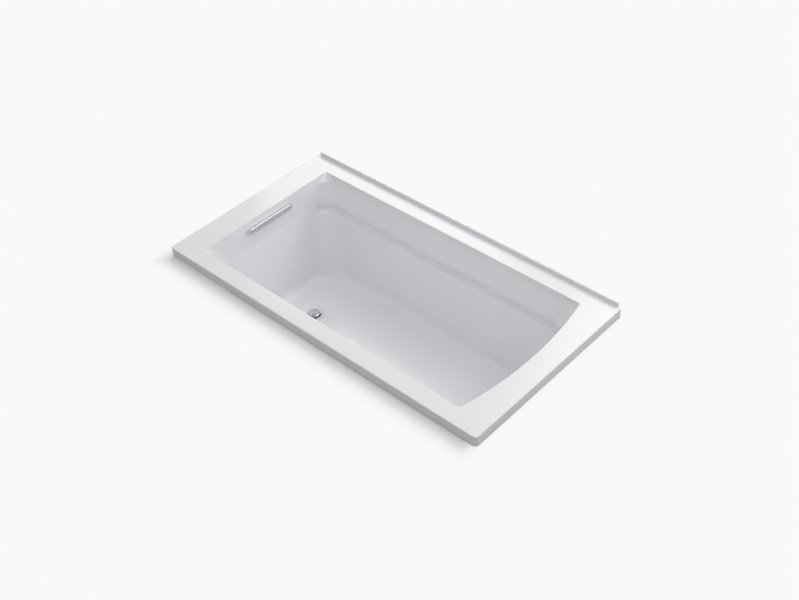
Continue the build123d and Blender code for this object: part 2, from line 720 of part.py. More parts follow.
def overflow_box():
    """Chamber behind the wall, with screw ears and a socket below for the upright tube."""
    place = slip_places()["overflow"]
    solid = slot_bar(BOX_LENGTH, BOX_HEIGHT, BOX_DEPTH, BOX_X)
    solid = fillet(solid.faces().sort_by(Axis.X)[0].edges(), radius=BOX_EDGE)
    solid += slot_bar(EAR_LENGTH, BOX_HEIGHT, EAR_THICKNESS, BOX_X)
    solid += place * pipe(SOCKET_RADIUS, -SPIGOT_LENGTH - BOX_WALL, 0)
    room_depth = BOX_DEPTH - BOX_WALL
    room = slot_bar(BOX_LENGTH - 2 * BOX_WALL, BOX_HEIGHT - 2 * BOX_WALL, room_depth, BOX_X)
    solid -= room
    solid = bore_socket(solid, place, SPIGOT_LENGTH + 2 * BOX_WALL)
    for rod in screw_rods(SCREW_RADIUS + THREAD_CLEARANCE, 3 * EAR_THICKNESS, BOX_X + EAR_THICKNESS):
        solid -= rod
    return solid


def tube(length):
    """Length of waste tube, from the origin along +Z."""
    return pipe(TUBE_RADIUS, 0, length) - pipe(TUBE_RADIUS - TUBE_WALL, 0, length)


def overflow_pipe():
    """Upright tube from the tee to the chamber."""
    low = AXIS_Z + TEE_ARM - SOCKET_DEPTH
    high = SOCKET_Z + SOCKET_DEPTH
    return Pos(STACK_X, CENTRE_Y, low) * tube(high - low)


def waste_pipe():
    """Level tube from the tee to the shoe."""
    low = STACK_X + TEE_ARM - SOCKET_DEPTH
    high = DRAIN_X - SHOE_ARM + SOCKET_DEPTH
    return Pos(low, CENTRE_Y, AXIS_Z) * Rot(0, 90, 0) * tube(high - low)


def all_nodes():
    """Every sub-part by node name."""
    nodes = {"tub_shell": tub_shell(), "fibreglass_backing": fibreglass_backing()}
    nodes["base_board"] = base_board()
    for name, x in zip(("drain_end", "middle", "backrest_end"), BEARER_PLACES):
        nodes["bearer_" + name] = bearer(x)
    for i, (x, y) in enumerate(foot_places()):
        nodes["foot_%d" % (i + 1)] = foot(x, y)
    nodes["foot_pads"] = foot_pads()
    nodes["foot_screws"] = foot_screws()
    nodes["bearer_screws"] = bearer_screws()
    nodes.update(battens())
    for name, place in slip_places().items():
        nodes[name + "_nut"] = place * slip_nut()
        nodes[name + "_washer"] = place * slip_washer()
    nodes["overflow_cover"] = overflow_cover()
    nodes["overflow_plate"] = overflow_plate()
    nodes["overflow_screws"] = overflow_screws()
    nodes["overflow_gasket"] = overflow_gasket()
    nodes["overflow_box"] = overflow_box()
    nodes["overflow_pipe"] = overflow_pipe()
    nodes["waste_tee"] = waste_tee()
    nodes["waste_pipe"] = waste_pipe()
    nodes["drain_shoe"] = drain_shoe()
    nodes["drain_gasket"] = drain_gasket()
    nodes["drain_flange"] = drain_flange()
    nodes["plug_post"] = plug_post()
    nodes["plug_spring"] = plug_spring()
    nodes["plug_seal"] = plug_seal()
    nodes["plug_cap"] = plug_cap()
    return nodes


def main():
    """Write each sub-part to its own STEP file."""
    os.makedirs("parts", exist_ok=True)
    for name, shape in all_nodes().items():
        export_step(shape, os.path.join("parts", name + ".step"))


if __name__ == "__main__":
    main()
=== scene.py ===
"""Looks of an acrylic drop-in bath: shell, chrome fittings, hidden support and pipework."""

import json
import logging
import math
from dataclasses import dataclass, field, replace
from enum import Enum

import bmesh
import bpy
from mathutils import Matrix, Vector


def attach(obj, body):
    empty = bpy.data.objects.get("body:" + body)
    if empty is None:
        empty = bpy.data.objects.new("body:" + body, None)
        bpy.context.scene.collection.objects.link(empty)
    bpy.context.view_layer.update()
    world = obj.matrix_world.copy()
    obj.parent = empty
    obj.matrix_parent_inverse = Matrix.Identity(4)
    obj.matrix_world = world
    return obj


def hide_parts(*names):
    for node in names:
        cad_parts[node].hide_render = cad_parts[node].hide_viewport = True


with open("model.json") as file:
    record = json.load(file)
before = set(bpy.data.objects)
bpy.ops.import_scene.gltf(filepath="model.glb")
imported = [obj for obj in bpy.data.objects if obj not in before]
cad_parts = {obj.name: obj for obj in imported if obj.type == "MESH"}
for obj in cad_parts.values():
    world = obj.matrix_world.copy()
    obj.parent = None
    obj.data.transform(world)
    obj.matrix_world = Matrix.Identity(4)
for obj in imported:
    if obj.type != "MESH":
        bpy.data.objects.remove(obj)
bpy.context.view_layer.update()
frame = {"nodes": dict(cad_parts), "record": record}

LOG = logging.getLogger("bath")
MM = 0.001
RIM_Z = 534.0
CENTRE_Y = -4.0
DRAIN_X = -434.0
DRAIN_Z = 94.0
DECK_Z = 492.0
SKIN = 5.0
BACKING = 4.0
SHARP_ABOVE = 40.0


class Slot(Enum):
    """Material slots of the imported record."""

    ACRYLIC = "acrylic"
    FIBREGLASS = "fibreglass"
    BOARD = "board"
    TIMBER = "timber"
    MOULDED = "moulded"
    RUBBER = "rubber"
    SCREWS = "screws"
    PIPEWORK = "pipework"
    NUTS = "nuts"
    CHROME = "chrome"
    BRASS = "brass"
    SPRING = "spring"


class NodeTree:
    """Short hand for making and joining shader nodes."""

    def __init__(self, tree: bpy.types.NodeTree) -> None:
        """Wrap a node tree.

        Args:
            tree: the material's or group's tree.
        """
        self.tree = tree

    def add(self, kind: str, **sockets: object) -> bpy.types.Node:
        """Add a node and set its attributes and input values.

        Args:
            kind: the node's type, such as ShaderNodeTexNoise.
            **sockets: attributes of the node, or input names with spaces as underscores.

        Returns:
            The new node.
        """
        node = self.tree.nodes.new(kind)
        for name, value in sockets.items():
            if hasattr(node, name):
                setattr(node, name, value)
            else:
                node.inputs[name.replace("_", " ")].default_value = value
        return node

    def join(self, source: bpy.types.NodeSocket, target: bpy.types.NodeSocket) -> None:
        """Link an output to an input."""
        self.tree.links.new(source, target)

    def mask_range(
        self, source: bpy.types.NodeSocket, low: float, high: float
    ) -> bpy.types.NodeSocket:
        """Stretch a 0 to 1 mask over a range.

        Args:
            source: the mask.
            low: value where the mask is 0.
            high: value where the mask is 1.

        Returns:
            The stretched value's socket.
        """
        node = self.add("ShaderNodeMapRange")
        node.inputs["To Min"].default_value = low
        node.inputs["To Max"].default_value = high
        self.join(source, node.inputs["Value"])
        return node.outputs["Result"]

    def blend(
        self, mask: bpy.types.NodeSocket, first: tuple[float, ...], second: tuple[float, ...]
    ) -> bpy.types.NodeSocket:
        """Mix two colours by a mask.

        Args:
            mask: 0 gives the first colour, 1 the second.
            first: linear red, green and blue.
            second: linear red, green and blue.

        Returns:
            The mixed colour's socket.
        """
        node = self.add("ShaderNodeMix", data_type="RGBA")
        node.inputs[6].default_value = (*first, 1.0)
        node.inputs[7].default_value = (*second, 1.0)
        self.join(mask, node.inputs[0])
        return node.outputs[2]

    def bump(
        self, height: bpy.types.NodeSocket, strength: float, distance: float
    ) -> bpy.types.Node:
        """Add a bump from a height.

        Args:
            height: the height's socket.
            strength: share of the full bump.
            distance: height of 1 in metres.

        Returns:
            The bump node.
        """
        node = self.add("ShaderNodeBump", Strength=strength, Distance=distance)
        self.join(height, node.inputs["Height"])
        return node


class SharedEffects:
    """Node groups that more than one material uses."""

    def __init__(self) -> None:
        """Build the groups once."""
        self.mottle = self._mottle()
        self.grain = self._grain()
        self.strands = self._strands()

    @staticmethod
    def _group(
        name: str, inputs: dict[str, float], outputs: list[str]
    ) -> tuple[NodeTree, bpy.types.Node, bpy.types.Node]:
        """Start a shader group.

        Args:
            name: the group's name.
            inputs: number inputs with their defaults.
            outputs: number outputs.

        Returns:
            The wrapped tree, its input node and its output node.
        """
        tree = bpy.data.node_groups.new(name, "ShaderNodeTree")
        for label, value in inputs.items():
            socket = tree.interface.new_socket(label, in_out="INPUT", socket_type="NodeSocketFloat")
            socket.default_value = value
        for label in outputs:
            tree.interface.new_socket(label, in_out="OUTPUT", socket_type="NodeSocketFloat")
        nodes = NodeTree(tree)
        return nodes, nodes.add("NodeGroupInput"), nodes.add("NodeGroupOutput")

    def _mottle(self) -> bpy.types.NodeTree:
        """Soft cloudy variation, coarse and fine."""
        nodes, start, end = self._group(
            "soft mottle", {"Scale": 8.0, "Fine Scale": 90.0}, ["Coarse", "Fine"]
        )
        place = nodes.add("ShaderNodeTexCoord")
        for label, scale, detail in (("Coarse", "Scale", 2.0), ("Fine", "Fine Scale", 4.0)):
            noise = nodes.add("ShaderNodeTexNoise", Detail=detail)
            nodes.join(place.outputs["Object"], noise.inputs["Vector"])
            nodes.join(start.outputs[scale], noise.inputs["Scale"])
            nodes.join(noise.outputs["Fac"], end.inputs[label])
        return nodes.tree

    def _grain(self) -> bpy.types.NodeTree:
        """Timber grain along Y or X: long streaks with growth lines."""
        nodes, start, end = self._group(
            "timber grain", {"Along X": 0.0, "Scale": 26.0, "Stretch": 16.0}, ["Streak", "Pore"]
        )
        place = nodes.add("ShaderNodeTexCoord")
        apart = nodes.add("ShaderNodeSeparateXYZ")
        nodes.join(place.outputs["Object"], apart.inputs[0])
        both = nodes.add("ShaderNodeCombineXYZ")
        shrink = nodes.add("ShaderNodeMath", operation="DIVIDE")
        shrink.inputs[0].default_value = 1.0
        nodes.join(start.outputs["Stretch"], shrink.inputs[1])
        for axis, stretched, plain in (("X", 3, 2), ("Y", 2, 3)):
            squeeze = nodes.add("ShaderNodeMix", data_type="FLOAT")
            nodes.join(start.outputs["Along X"], squeeze.inputs[0])
            nodes.join(shrink.outputs[0], squeeze.inputs[stretched])
            squeeze.inputs[plain].default_value = 1.0
            product = nodes.add("ShaderNodeMath", operation="MULTIPLY")
            nodes.join(apart.outputs[axis], product.inputs[0])
            nodes.join(squeeze.outputs[0], product.inputs[1])
            nodes.join(product.outputs[0], both.inputs[axis])
        nodes.join(apart.outputs["Z"], both.inputs["Z"])
        streak = nodes.add("ShaderNodeTexNoise", Detail=5.0, Roughness=0.6, Distortion=0.6)
        nodes.join(both.outputs[0], streak.inputs["Vector"])
        nodes.join(start.outputs["Scale"], streak.inputs["Scale"])
        nodes.join(streak.outputs["Fac"], end.inputs["Streak"])
        finer = nodes.add("ShaderNodeMath", operation="MULTIPLY")
        finer.inputs[1].default_value = 9.0
        nodes.join(start.outputs["Scale"], finer.inputs[0])
        pore = nodes.add("ShaderNodeTexNoise", Detail=3.0, Roughness=0.7)
        nodes.join(both.outputs[0], pore.inputs["Vector"])
        nodes.join(finer.outputs[0], pore.inputs["Scale"])
        nodes.join(pore.outputs["Fac"], end.inputs["Pore"])
        return nodes.tree

    def _strands(self) -> bpy.types.NodeTree:
        """Chopped glass strands under resin: crossed short fibres and lumps."""
        nodes, start, end = self._group("chopped strands", {"Scale": 42.0}, ["Fibre", "Lump"])
        place = nodes.add("ShaderNodeTexCoord")
        total = None
        for turn, stretch in ((0.4, 9.0), (1.5, 8.0), (2.6, 10.0)):
            mapping = nodes.add("ShaderNodeMapping")
            mapping.inputs["Rotation"].default_value = (turn * 0.7, turn * 0.4, turn)
            mapping.inputs["Scale"].default_value = (1.0, stretch, 2.0)
            nodes.join(place.outputs["Object"], mapping.inputs["Vector"])
            fibre = nodes.add("ShaderNodeTexNoise", Detail=2.0, Distortion=0.8)
            nodes.join(mapping.outputs[0], fibre.inputs["Vector"])
            nodes.join(start.outputs["Scale"], fibre.inputs["Scale"])
            ridge = nodes.add("ShaderNodeMapRange")
            ridge.inputs["From Min"].default_value = 0.52
            ridge.inputs["From Max"].default_value = 0.66
            nodes.join(fibre.outputs["Fac"], ridge.inputs["Value"])
            if total is None:
                total = ridge.outputs[0]
            else:
                most = nodes.add("ShaderNodeMath", operation="MAXIMUM")
                nodes.join(total, most.inputs[0])
                nodes.join(ridge.outputs[0], most.inputs[1])
                total = most.outputs[0]
        nodes.join(total, end.inputs["Fibre"])
        lump = nodes.add("ShaderNodeTexNoise", Scale=14.0, Detail=3.0)
        nodes.join(place.outputs["Object"], lump.inputs["Vector"])
        nodes.join(lump.outputs["Fac"], end.inputs["Lump"])
        return nodes.tree


Masks = tuple[bpy.types.NodeSocket, bpy.types.NodeSocket]


@dataclass(frozen=True)
class Finish:
    """What every finish has: a name, its colours and its gloss."""

    name: str
    colour: tuple[float, float, float]
    second: tuple[float, float, float]
    rough_low: float
    rough_high: float
    metallic: float = 0.0
    scale: float = 8.0
    fine_scale: float = 120.0
    bump_strength: float = 0.1
    bump_height: float = 0.0002

    def start(self) -> tuple[bpy.types.Material, NodeTree, bpy.types.Node]:
        """Make the material with its shader.

        Returns:
            The material, its wrapped tree and its Principled shader.
        """
        material = bpy.data.materials.new(self.name)
        material.use_nodes = True
        nodes = NodeTree(material.node_tree)
        shader = material.node_tree.nodes["Principled BSDF"]
        shader.inputs["Metallic"].default_value = self.metallic
        return material, nodes, shader

    def masks(self, nodes: NodeTree, effects: SharedEffects) -> Masks:
        """Colour mask and fine mask of this finish.

        Args:
            nodes: the material's tree.
            effects: the shared groups.

        Returns:
            The coarse mask and the fine mask.
        """
        group = nodes.add("ShaderNodeGroup")
        group.node_tree = effects.mottle
        group.inputs["Scale"].default_value = self.scale
        group.inputs["Fine Scale"].default_value = self.fine_scale
        return group.outputs["Coarse"], group.outputs["Fine"]

    def make(self, effects: SharedEffects) -> bpy.types.Material:
        """Build the material.

        Args:
            effects: the shared groups.

        Returns:
            The finished material.
        """
        material, nodes, shader = self.start()
        coarse, fine = self.masks(nodes, effects)
        nodes.join(nodes.blend(coarse, self.colour, self.second), shader.inputs["Base Color"])
        rough = nodes.mask_range(fine, self.rough_low, self.rough_high)
        nodes.join(rough, shader.inputs["Roughness"])
        bump = nodes.bump(fine, self.bump_strength, self.bump_height)
        nodes.join(bump.outputs[0], shader.inputs["Normal"])
        return material


@dataclass(frozen=True)
class AcrylicFinish(Finish):
    """Glossy cast acrylic: clear top over a faintly waved white body."""

    def make(self, effects: SharedEffects) -> bpy.types.Material:
        """Build the acrylic.

        Args:
            effects: the shared groups.

        Returns:
            The finished material.
        """
        material, nodes, shader = self.start()
        coarse, fine = self.masks(nodes, effects)
        nodes.join(nodes.blend(coarse, self.colour, self.second), shader.inputs["Base Color"])
        rough = nodes.mask_range(coarse, self.rough_low, self.rough_high)
        nodes.join(rough, shader.inputs["Roughness"])
        shader.inputs["IOR"].default_value = 1.49
        bump = nodes.bump(coarse, self.bump_strength, self.bump_height)
        speckle = nodes.bump(fine, 0.02, 0.00002)
        nodes.join(bump.outputs[0], speckle.inputs["Normal"])
        nodes.join(speckle.outputs[0], shader.inputs["Normal"])
        return material


@dataclass(frozen=True)
class TimberFinish(Finish):
    """Sawn and planed softwood, or a sanded board, with its grain along one axis."""

    along_x: float = 0.0
    stretch: float = 16.0

    def masks(self, nodes: NodeTree, effects: SharedEffects) -> Masks:
        """Streak mask and pore mask.

        Args:
            nodes: the material's tree.
            effects: the shared groups.

        Returns:
            The streak mask and the pore mask.
        """
        group = nodes.add("ShaderNodeGroup")
        group.node_tree = effects.grain
        group.inputs["Along X"].default_value = self.along_x
        group.inputs["Scale"].default_value = self.scale
        group.inputs["Stretch"].default_value = self.stretch
        ramp = nodes.add("ShaderNodeMapRange")
        ramp.inputs["From Min"].default_value = 0.36
        ramp.inputs["From Max"].default_value = 0.64
        nodes.join(group.outputs["Streak"], ramp.inputs["Value"])
        return ramp.outputs[0], group.outputs["Pore"]


@dataclass(frozen=True)
class FibreglassFinish(Finish):
    """Resin with chopped strands showing through."""

    def make(self, effects: SharedEffects) -> bpy.types.Material:
        """Build the reinforcement.

        Args:
            effects: the shared groups.

        Returns:
            The finished material.
        """
        material, nodes, shader = self.start()
        group = nodes.add("ShaderNodeGroup")
        group.node_tree = effects.strands
        group.inputs["Scale"].default_value = self.scale
        fibre, lump = group.outputs["Fibre"], group.outputs["Lump"]
        nodes.join(nodes.blend(fibre, self.colour, self.second), shader.inputs["Base Color"])
        rough = nodes.mask_range(fibre, self.rough_low, self.rough_high)
        nodes.join(rough, shader.inputs["Roughness"])
        low = nodes.bump(lump, 0.7, 0.0025)
        high = nodes.bump(fibre, self.bump_strength, self.bump_height)
        nodes.join(low.outputs[0], high.inputs["Normal"])
        nodes.join(high.outputs[0], shader.inputs["Normal"])
        return material


FINISHES: dict[Slot, Finish] = {
    Slot.ACRYLIC: AcrylicFinish(
        name="white acrylic",
        colour=(0.805, 0.814, 0.830),
        second=(0.815, 0.824, 0.840),
        rough_low=0.12,
        rough_high=0.20,
        scale=3.0,
        fine_scale=500.0,
        bump_strength=0.25,
        bump_height=0.0004,
    ),
    Slot.FIBREGLASS: FibreglassFinish(
        name="sprayed fibreglass",
        colour=(0.62, 0.58, 0.44),
        second=(0.80, 0.78, 0.68),
        rough_low=0.35,
        rough_high=0.6,
        scale=42.0,
        bump_strength=0.6,
        bump_height=0.0006,
    ),
    Slot.BOARD: TimberFinish(
        name="sanded board",
        colour=(0.50, 0.36, 0.20),
        second=(0.36, 0.24, 0.12),
        rough_low=0.55,
        rough_high=0.75,
        scale=14.0,
        bump_strength=0.25,
        bump_height=0.0003,
        along_x=1.0,
        stretch=9.0,
    ),
    Slot.TIMBER: TimberFinish(
        name="planed softwood",
        colour=(0.62, 0.45, 0.25),
        second=(0.44, 0.28, 0.13),
        rough_low=0.5,
        rough_high=0.7,
        scale=26.0,
        bump_strength=0.3,
        bump_height=0.0004,
    ),
    Slot.MOULDED: Finish(
        name="moulded black",
        colour=(0.018, 0.018, 0.02),
        second=(0.03, 0.03, 0.032),
        rough_low=0.4,
        rough_high=0.6,
        scale=20.0,
        fine_scale=900.0,
        bump_strength=0.3,
        bump_height=0.0001,
    ),
    Slot.RUBBER: Finish(
        name="black rubber",
        colour=(0.012, 0.012, 0.012),
        second=(0.025, 0.024, 0.023),
        rough_low=0.65,
        rough_high=0.85,
        scale=30.0,
        fine_scale=700.0,
        bump_strength=0.3,
        bump_height=0.0001,
    ),
    Slot.SCREWS: Finish(
        name="zinc plate",
        colour=(0.52, 0.50, 0.44),
        second=(0.66, 0.64, 0.58),
        rough_low=0.25,
        rough_high=0.45,
        metallic=1.0,
        scale=60.0,
        fine_scale=900.0,
        bump_strength=0.15,
        bump_height=0.00005,
    ),
    Slot.PIPEWORK: Finish(
        name="white pipe",
        colour=(0.74, 0.74, 0.71),
        second=(0.80, 0.80, 0.77),
        rough_low=0.25,
        rough_high=0.4,
        scale=12.0,
        fine_scale=300.0,
        bump_height=0.0001,
    ),
    Slot.NUTS: Finish(
        name="white nut",
        colour=(0.68, 0.68, 0.66),
        second=(0.75, 0.75, 0.73),
        rough_low=0.3,
        rough_high=0.5,
        scale=30.0,
        fine_scale=500.0,
        bump_strength=0.2,
        bump_height=0.0001,
    ),
    Slot.CHROME: Finish(
        name="polished chrome",
        colour=(0.72, 0.73, 0.75),
        second=(0.76, 0.77, 0.79),
        rough_low=0.03,
        rough_high=0.08,
        metallic=1.0,
        scale=18.0,
        fine_scale=400.0,
        bump_strength=0.03,
        bump_height=0.00002,
    ),
    Slot.BRASS: Finish(
        name="machined brass",
        colour=(0.60, 0.42, 0.14),
        second=(0.70, 0.52, 0.22),
        rough_low=0.2,
        rough_high=0.35,
        metallic=1.0,
        scale=40.0,
        fine_scale=800.0,
        bump_height=0.00005,
    ),
    Slot.SPRING: Finish(
        name="drawn wire",
        colour=(0.50, 0.50, 0.52),
        second=(0.62, 0.62, 0.64),
        rough_low=0.2,
        rough_high=0.35,
        metallic=1.0,
        scale=80.0,
        fine_scale=900.0,
        bump_height=0.00003,
    ),
}


class Finishes:
    """All materials of the object, made once."""

    def __init__(self) -> None:
        """Build every material from its finish."""
        effects = SharedEffects()
        self.by_slot = {slot: finish.make(effects) for slot, finish in FINISHES.items()}
        along = FINISHES[Slot.TIMBER]
        lengthwise = replace(along, name="planed softwood along X", along_x=1.0)
        self.timber_along_x = lengthwise.make(effects)


@dataclass(frozen=True)
class PlanSteps:
    """How many steps each part of an outline has, the same on every ring."""

    long_side: int = 44
    short_side: int = 30
    corner: int = 18


@dataclass(frozen=True)
class Outline:
    """One level outline in millimetres, with rounded corners and a bowed backrest side."""

    z: float
    left: float
    right: float
    front: float
    back: float
    bow: float
    corner: float
    fall: float = 0.0

    def ring(self, steps: PlanSteps) -> list[Vector]:
        """Points of the outline, anticlockwise from the front of the backrest side.

        Args:
            steps: steps of the sides and corners.

        Returns:
            The ring's points in millimetres.
        """
        half = (self.back - self.front) / 2
        middle = (self.back + self.front) / 2
        radius = self.corner
        if self.bow > 0.0:
            sweep = (half * half + self.bow * self.bow) / (2 * self.bow)
            hub = self.right - sweep
            reach = math.sqrt((sweep - radius) ** 2 - (half - radius) ** 2)
            corner_x = hub + reach
            lean = math.atan2(half - radius, reach)
        else:
            sweep, hub, corner_x, lean = 0.0, 0.0, self.right - radius, 0.0
        quarter = math.pi / 2
        centres = [
            (corner_x, half - radius, lean, quarter),
            (self.left + radius, half - radius, quarter, 2 * quarter),
            (self.left + radius, radius - half, 2 * quarter, 3 * quarter),
            (corner_x, radius - half, 3 * quarter, 4 * quarter - lean),
        ]
        flat: list[tuple[float, float]] = []
        for i in range(steps.short_side):
            share = i / steps.short_side
            if sweep > 0.0:
                angle = lean * (2 * share - 1)
                flat.append((hub + sweep * math.cos(angle), sweep * math.sin(angle)))
            else:
                flat.append((self.right, (half - radius) * (2 * share - 1)))
        for index, (x, y, start, stop) in enumerate(centres):
            for i in range(steps.corner):
                angle = start + (stop - start) * i / steps.corner
                flat.append((x + radius * math.cos(angle), y + radius * math.sin(angle)))
            if index == 3:
                break
            after = centres[index + 1]
            first = (x + radius * math.cos(stop), y + radius * math.sin(stop))
            last = (after[0] + radius * math.cos(after[2]), after[1] + radius * math.sin(after[2]))
            count = steps.long_side if index != 1 else steps.short_side
            for i in range(count):
                share = i / count
                x_here = first[0] + (last[0] - first[0]) * share
                flat.append((x_here, first[1] + (last[1] - first[1]) * share))
        return [Vector((x, y + middle, self.z + self.fall * (x - DRAIN_X))) for x, y in flat]


def circle_ring(around: list[Vector], radius: float, z: float) -> list[Vector]:
    """Ring round the drain whose points face the points of another ring.

    Args:
        around: the ring to face.
        radius: radius in millimetres.
        z: height in millimetres.

    Returns:
        The ring's points in millimetres.
    """
    ring = []
    for point in around:
        angle = math.atan2(point.y - CENTRE_Y, point.x - DRAIN_X)
        x, y = radius * math.cos(angle), radius * math.sin(angle)
        ring.append(Vector((DRAIN_X + x, CENTRE_Y + y, z)))
    return ring


def rounded_column(points: list[Vector], radii: list[float], steps: list[int]) -> list[Vector]:
    """Round the corners of an open run of points.

    Args:
        points: the run's corners.
        radii: radius at each corner; 0 keeps it sharp.
        steps: segments of each rounding.

    Returns:
        The run with its corners rounded.
    """
    out = [points[0]]
    for i in range(1, len(points) - 1):
        before, here, after = points[i - 1], points[i], points[i + 1]
        arrive, leave = here - before, after - here
        if radii[i] <= 0.0 or arrive.length < 1e-6 or leave.length < 1e-6:
            out.append(here)
            continue
        room = 0.47 * min(arrive.length, leave.length)
        d1, d2 = arrive.normalized(), leave.normalized()
        turn = d1.angle(d2)
        if turn < 0.002:
            reach = min(room, 1.0)
            for k in range(steps[i] + 1):
                out.append(here + d1 * (reach * (2 * k / steps[i] - 1)))
            continue
        reach = min(radii[i] * math.tan(turn / 2), room)
        radius = reach / math.tan(turn / 2)
        side = (d2 - d1 * d1.dot(d2)).normalized()
        start = here - d1 * reach
        for k in range(steps[i] + 1):
            angle = turn * k / steps[i]
            out.append(start + radius * (math.sin(angle) * d1 + (1 - math.cos(angle)) * side))
    out.append(points[-1])
    return out


def rings_to_object(name: str, rings: list[list[Vector]], closed: bool) -> bpy.types.Object:
    """Skin a stack of rings with extruded edges.

    Args:
        name: the new object's name.
        rings: rings of equal length in millimetres.
        closed: whether the last ring joins the first.

    Returns:
        The new object.
    """
    bm = bmesh.new()
    column = bm.verts.layers.int.new("column")
    circle = bmesh.ops.create_circle(bm, cap_ends=False, radius=1.0, segments=len(rings[0]))["verts"]
    for i, vert in enumerate(circle):
        vert[column] = i
        vert.co = rings[0][i] * MM
    first = list(bm.edges)
    edges = first
    for ring in rings[1:]:
        made = bmesh.ops.extrude_edge_only(bm, edges=edges)["geom"]
        verts = {g for g in made if isinstance(g, bmesh.types.BMVert)}
        runs = [g for g in made if isinstance(g, bmesh.types.BMEdge)]
        edges = [edge for edge in runs if set(edge.verts) <= verts]
        for vert in verts:
            vert.co = ring[vert[column]] * MM
    if closed:
        bmesh.ops.bridge_loops(bm, edges=first + edges)
    bmesh.ops.remove_doubles(bm, verts=bm.verts, dist=1e-6)
    bmesh.ops.recalc_face_normals(bm, faces=bm.faces)
    return mesh_object(name, bm)


def mesh_object(name: str, bm: bmesh.types.BMesh) -> bpy.types.Object:
    """Turn a bmesh into a smooth-shaded object.

    Args:
        name: the new object's name.
        bm: the mesh, which is freed.

    Returns:
        The new object.
    """
    mesh = bpy.data.meshes.new(name)
    bm.to_mesh(mesh)
    bm.free()
    mesh.shade_smooth()
    mesh.set_sharp_from_angle(angle=math.radians(SHARP_ABOVE))
    thing = bpy.data.objects.new(name, mesh)
    bpy.context.scene.collection.objects.link(thing)
    weigh = thing.modifiers.new("even shading", "WEIGHTED_NORMAL")
    weigh.keep_sharp = True
    return thing


def settle(
    thing: bpy.types.Object, material: bpy.types.Material, body: str, slot: Slot, *nodes: str
) -> None:
    """Dress a piece, put it on its body and hide the CAD nodes that it replaces.

    Args:
        thing: the piece.
        material: its material.
        body: the body that it rides on.
        slot: not used.
        *nodes: the nodes that it replaces.
    """
    thing.data.materials.clear()
    thing.data.materials.append(material)
    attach(thing, body)
    if nodes:
        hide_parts(*nodes)
    LOG.info("%s: %d faces", thing.name, len(thing.data.polygons))


@dataclass(frozen=True)
class WallCorner:
    """One corner of the long side walls, from the lip down to the floor."""

    depth: float
    side: float
    corner: float
    rounding: float
    steps: int


